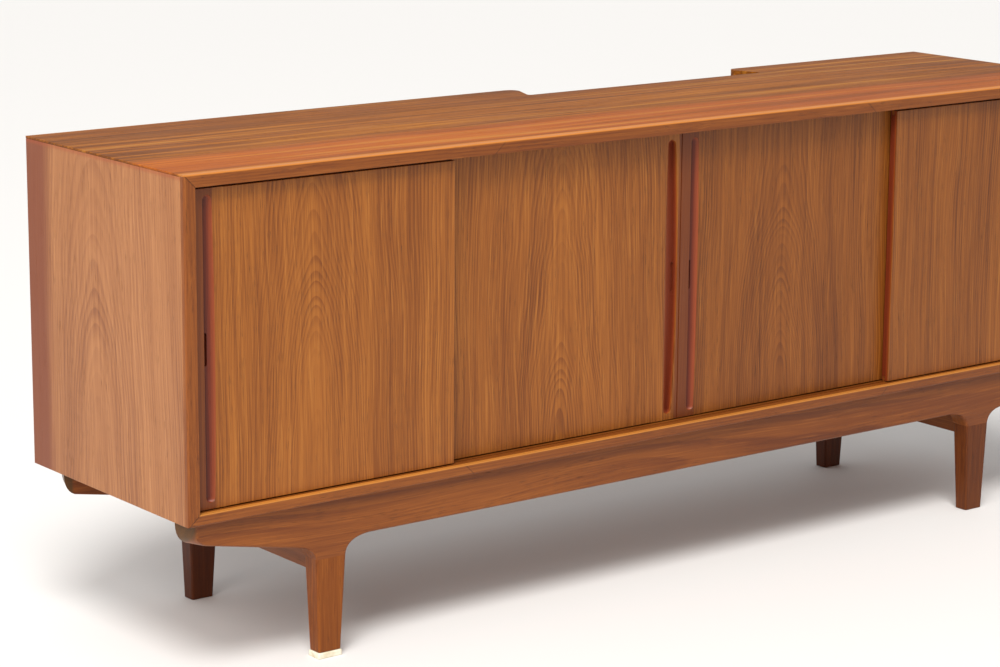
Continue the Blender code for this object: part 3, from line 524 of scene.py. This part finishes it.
def close_gaps(body, seams, joint):
    """Move the points beside a seam or a leg joint into its middle."""
    for vertex in body.verts:
        for seam in seams:
            if abs(vertex.co.x - seam) < SEAM_REACH:
                vertex.co.x = seam
        if joint and any(abs(vertex.co.z - height) < ON_PLANE for height in JOINT_PLANES):
            vertex.co.z = JOINT_HEIGHT


def sharp(edge):
    return len(edge.link_faces) == 2 and edge.calc_face_angle() > SHARP_ANGLE


def on_seam(edge, seams):
    return any(all(abs(vertex.co.x - seam) < ON_PLANE for vertex in edge.verts) for seam in seams)


def at_joint(edge):
    return all(abs(vertex.co.z - JOINT_HEIGHT) < ON_JOINT for vertex in edge.verts)


def span(node, axis):
    low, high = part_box(node)
    return low[AXES[axis]], high[AXES[axis]]


def middle(node):
    low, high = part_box(node)
    return (low + high) / 2


def build_doors():
    """Each door: face veneer that runs on over the stile and the edge strip."""
    figures = {
        "door_front_left": dict(offset=-0.020, depth=0.022, lean=0.19, seed=1.3),
        "door_rear_left": dict(offset=-0.005, depth=0.020, lean=0.17, seed=5.1),
        "door_rear_right": dict(offset=-0.018, depth=0.024, lean=0.20, seed=9.2),
        "door_front_right": dict(offset=0.190, depth=0.030, lean=0.16, seed=13.7),
    }
    for door in DOORS:
        made = figures[door]
        face = span(door + "_panel", "Y")[0]
        left, right = span(door + "_lower_runner", "X")
        centre = ((left + right) / 2 + made["offset"], middle(door + "_panel").z)
        figure = Figure("XZY", centre, made["depth"], made["lean"], 0.0058, made["seed"])
        stile_left, stile_right = span(door + "_stile", "X")
        side = -1 if stile_right < (left + right) / 2 else 1
        pull = (face, stile_left if side < 0 else stile_right, side)
        colours = TEAK_DEEP if "right" in door else TEAK
        veneer = teak(door + "_veneer", colours, figure, pull=pull)
        seams = door_seams(door)
        for part in ("panel", "stile", "edge"):
            refined(f"{door}_{part}", veneer, seams=seams)


def door_seams(door):
    """X of the joints between a door's stile, panel and edge strip."""
    spans = sorted(span(f"{door}_{part}", "X") for part in ("stile", "panel", "edge"))
    return [(one[1] + other[0]) / 2 for one, other in zip(spans, spans[1:])]


def build_case():
    """The veneered boards of the case and its plywood back."""
    top = Figure("YXZ", (-0.02, 0.4), 0.10, 0.020, 0.0110, 21.0)
    look = dict(streak=0.95, rough=0.50, shine=0.10, band=top_bands)
    refined("top_board", teak("top_veneer", TEAK_TOP, top, **look))
    left = Figure("YZX", (0.03, 0.15), 0.030, 0.14, 0.0065, 31.0)
    wood = teak("side_board_left_veneer", TEAK_SIDE, left, band=rear_band)
    refined("side_board_left", wood)
    right = Figure("YZX", (-0.05, 0.20), 0.030, 0.14, 0.0065, 37.0)
    wood = teak("side_board_right_veneer", TEAK, right, band=rear_band)
    refined("side_board_right", wood)
    inner = Figure("YXZ", (0.1, 0.0), 0.05, 0.03, 0.010, 41.0)
    wood = teak("inner_veneer", TEAK, inner)
    for node in ("bottom_board", "shelf_left", "shelf_right"):
        refined(node, wood)
    upright = Figure("YZX", (0.0, 0.2), 0.05, 0.08, 0.009, 43.0)
    refined("partition", teak("partition_veneer", TEAK, upright))
    back = Figure("XZY", (0.3, 0.2), 0.05, 0.08, 0.014, 47.0)
    refined("back_panel", teak("back_ply", TEAK, back, rough=0.62))


def solid(node, figure, colours=TEAK_SOLID, arris=ARRIS, joint=False, **look):
    """A piece of solid teak with a material of its own."""
    wood = teak(node + "_wood", colours, figure, **look)
    refined(node, wood, arris, joint=joint)


def build_solids():
    """Lippings, tracks, aprons, rails and legs in solid teak, each cut from its own stick."""
    lippings = ("lipping_top", "lipping_bottom")
    level = lippings + ("upper_track", "lower_track", "shelf_strip_left", "shelf_strip_right")
    for number, node in enumerate(level):
        figure = Figure("YXZ", (middle(node).y, 0.0), 0.06, 0.01, 0.006, 51.0 + number)
        if node in lippings:
            solid(node, figure, arris=FINE_ARRIS, streak=0.45, band=lipping_glue_and_highlights)
        else:
            solid(node, figure, streak=0.45)
    for number, node in enumerate(("lipping_left", "lipping_right")):
        figure = Figure("YZX", (middle(node).y, 0.3), 0.05, 0.02, 0.006, 61.0 + number)
        solid(node, figure, arris=FINE_ARRIS, streak=0.45, band=lipping_glue_and_highlights)
    for number, node in enumerate(("front_apron", "rear_apron")):
        figure = Figure("ZXY", (0.20, 0.2), 0.09, 0.02, 0.010, 71.0 + number)
        solid(node, figure, joint=True, streak=0.40, band=end_grain_and_shade)
    for number, node in enumerate(("cross_rail_left", "cross_rail_right")):
        figure = Figure("ZYX", (0.17, 0.0), 0.07, 0.02, 0.008, 81.0 + number)
        solid(node, figure, streak=0.40)
    # Painted shade: darker copies of the same teak for the legs further under the case
    legs = {
        "leg_front_left": TEAK_SOLID,
        "leg_front_right": TEAK_PAINTED_HALF_SHADE,
        "leg_rear_left": TEAK_PAINTED_SHADE,
        "leg_rear_right": TEAK_PAINTED_SHADE,
    }
    for number, (node, colours) in enumerate(legs.items()):
        figure = Figure("XZY", (middle(node).x, 0.05), 0.05, 0.05, 0.008, 91.0 + number)
        solid(node, figure, colours, joint=True, streak=0.40, shine=0.20)
    for number, door in enumerate(DOORS):
        for node in (door + "_lower_runner", door + "_upper_runner"):
            figure = Figure("YXZ", (middle(node).y, 0.0), 0.05, 0.01, 0.006, 101.0 + number)
            solid(node, figure, arris=FINE_ARRIS)


def build_hardware():
    """Zinc-plated pins and screws, and the white pad."""
    zinc = Graph("zinc_plate")
    cloud = zinc.noise(zinc.place(), (400.0, 400.0, 400.0), 3.0, 0.6, 3.0)
    plate = zinc.ramp(cloud, (0.3, 0.7), ZINC)
    zinc.put(plate, zinc.shader.inputs["Base Color"])
    zinc.put(zinc.math("MULTIPLY_ADD", cloud, 0.25, 0.22), zinc.shader.inputs["Roughness"])
    zinc.shader.inputs["Metallic"].default_value = 1.0
    for node in frame["nodes"]:
        if node.startswith(HARDWARE):
            refined(node, zinc.material, FINE_ARRIS)
    pad = Graph("pad_plastic")
    grime = pad.noise(pad.place(), (60.0, 60.0, 60.0), 2.0, 0.5, 8.0)
    pad.put(pad.ramp(grime, (0.30, 0.55, 0.8), CREAM), pad.shader.inputs["Base Color"])
    pad.bump(grime, 0.0001)
    pad.shader.inputs["Roughness"].default_value = 0.62
    refined("foot_pad", pad.material, FINE_ARRIS)


# Stage -------------------------------------------------------------------------


def add_light(name, kind, place, direction, colour, energy):
    light = bpy.data.lights.new(name, kind)
    light.energy = energy
    light.color = colour
    lamp = bpy.data.objects.new(name, light)
    lamp.location = place
    lamp.rotation_euler = direction.to_track_quat("-Z", "Y").to_euler()
    bpy.context.scene.collection.objects.link(lamp)
    return light


def build_floor():
    mesh = bpy.data.meshes.new("floor")
    shape = bmesh.new()
    bmesh.ops.create_grid(shape, x_segments=2, y_segments=2, size=FLOOR_HALF_SIZE)
    shape.to_mesh(mesh)
    shape.free()
    floor = bpy.data.objects.new("floor", mesh)
    floor.location.z = CAD_LOW[2] - FLOOR_DROP
    bpy.context.scene.collection.objects.link(floor)
    pale = bpy.data.materials.new("pale_floor")
    pale.use_nodes = True
    shader = pale.node_tree.nodes["Principled BSDF"]
    shader.inputs["Base Color"].default_value = FLOOR_COLOUR
    shader.inputs["Roughness"].default_value = FLOOR_ROUGHNESS
    mesh.materials.append(pale)


def build_lights():
    world = bpy.data.worlds.new("studio")
    bpy.context.scene.world = world
    world.use_nodes = True
    sky = world.node_tree.nodes["Background"]
    sky.inputs["Color"].default_value = SKY_COLOUR
    sky.inputs["Strength"].default_value = SKY_STRENGTH
    sun = add_light("sun", "SUN", (0, 0, 0), Vector(SUN_DIRECTION), SUN_COLOUR, SUN_STRENGTH)
    sun.angle = SUN_ANGLE
    aim = Vector(KEY_TARGET) - Vector(KEY_PLACE)
    key = add_light("key", "AREA", KEY_PLACE, aim, KEY_COLOUR, KEY_POWER)
    key.shape = "RECTANGLE"
    key.size, key.size_y = KEY_SIZE


def build_camera():
    scene = bpy.context.scene
    lens = bpy.data.cameras.new("camera")
    lens.lens = LENS_MM
    lens.sensor_width = SENSOR_MM
    lens.clip_end = CLIP_END
    camera = bpy.data.objects.new("camera", lens)
    yaw = Matrix.Rotation(-CAMERA_YAW, 4, "Z")
    pitch = Matrix.Rotation(math.pi / 2 - CAMERA_PITCH, 4, "X")
    roll = Matrix.Rotation(CAMERA_ROLL, 4, "Z")
    camera.matrix_world = Matrix.Translation(CAMERA_PLACE) @ yaw @ pitch @ roll
    scene.collection.objects.link(camera)
    scene.camera = camera
    scene.view_settings.view_transform = "Standard"
    scene.view_settings.look = "None"


build_doors()
build_case()
build_solids()
build_hardware()
build_floor()
build_lights()
build_camera()
